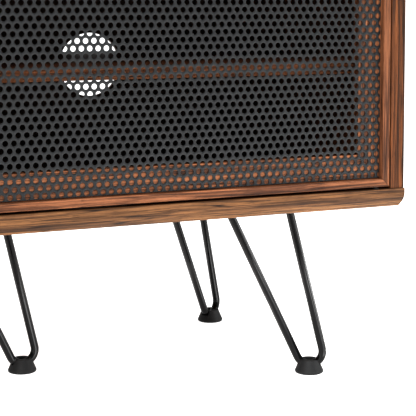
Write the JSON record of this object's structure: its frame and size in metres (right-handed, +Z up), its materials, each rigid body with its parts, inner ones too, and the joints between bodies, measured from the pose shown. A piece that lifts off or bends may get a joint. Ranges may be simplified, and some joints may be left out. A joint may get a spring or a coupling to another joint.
{
  "type": "tv stand with doors",
  "caption": "Low walnut-finish media cabinet with perforated metal doors either side of an open bay, inner shelves, cable holes and hairpin legs.",
  "frame": {"origin": "on the floor, under the middle of the whole object's bounding box", "axes": "+X to the right seen from the front, +Y from front to back, +Z up"},
  "size_m": [1.5, 0.4032, 0.4918],
  "materials": {
    "walnut_laminate": "satin walnut-grain laminate",
    "back_board": "thin printed hardboard, matte brown",
    "black_steel": "black powder coat, satin",
    "black_rubber": "moulded, matte",
    "plain_steel": "zinc plated",
    "black_nylon": "moulded"
  },
  "bodies": {
    "carcass": {"back_panel_left": "back_board", "back_panel_middle": "back_board", "back_panel_right": "back_board", "bottom_board": "walnut_laminate", "divider_left": "walnut_laminate", "divider_right": "walnut_laminate", "foot_front_left": "black_rubber", "foot_front_right": "black_rubber", "foot_middle_left": "black_rubber", "foot_middle_right": "black_rubber", "foot_rear_left": "black_rubber", "foot_rear_right": "black_rubber", "leg_front_left": "black_steel", "leg_front_right": "black_steel", "leg_middle_left": "black_steel", "leg_middle_right": "black_steel", "leg_rear_left": "black_steel", "leg_rear_right": "black_steel", "magnet_catch_left": "black_nylon", "magnet_catch_right": "black_nylon", "pivot_pin_left_bottom": "plain_steel", "pivot_pin_left_top": "plain_steel", "pivot_pin_right_bottom": "plain_steel", "pivot_pin_right_top": "plain_steel", "shelf_left": "walnut_laminate", "shelf_middle": "walnut_laminate", "shelf_pin_left_front_l": "plain_steel", "shelf_pin_left_front_r": "plain_steel", "shelf_pin_left_rear_l": "plain_steel", "shelf_pin_left_rear_r": "plain_steel", "shelf_pin_middle_front_l": "plain_steel", "shelf_pin_middle_front_r": "plain_steel", "shelf_pin_middle_rear_l": "plain_steel", "shelf_pin_middle_rear_r": "plain_steel", "shelf_pin_right_front_l": "plain_steel", "shelf_pin_right_front_r": "plain_steel", "shelf_pin_right_rear_l": "plain_steel", "shelf_pin_right_rear_r": "plain_steel", "shelf_right": "walnut_laminate", "side_panel_left": "walnut_laminate", "side_panel_right": "walnut_laminate", "top_board": "walnut_laminate"},
    "door_left": {"door_left_bottom_bush": "black_nylon", "door_left_bottom_rail": "walnut_laminate", "door_left_free_stile": "walnut_laminate", "door_left_hinge_stile": "walnut_laminate", "door_left_knob": "black_steel", "door_left_mesh": "black_steel", "door_left_strike": "plain_steel", "door_left_top_bush": "black_nylon", "door_left_top_rail": "walnut_laminate"},
    "door_right": {"door_right_bottom_bush": "black_nylon", "door_right_bottom_rail": "walnut_laminate", "door_right_free_stile": "walnut_laminate", "door_right_hinge_stile": "walnut_laminate", "door_right_knob": "black_steel", "door_right_mesh": "black_steel", "door_right_strike": "plain_steel", "door_right_top_bush": "black_nylon", "door_right_top_rail": "walnut_laminate"}
  },
  "joints": [
    {"name": "door_left_swing", "type": "hinge", "parent": "carcass", "child": "door_left", "pos_m": [-0.7167, -0.1792, 0.3412], "axis": [0, 0, 1], "range_deg": [-110, 0]},
    {"name": "door_right_swing", "type": "hinge", "parent": "carcass", "child": "door_right", "pos_m": [0.7167, -0.1792, 0.3412], "axis": [0, 0, 1], "range_deg": [0, 110]}
  ]
}
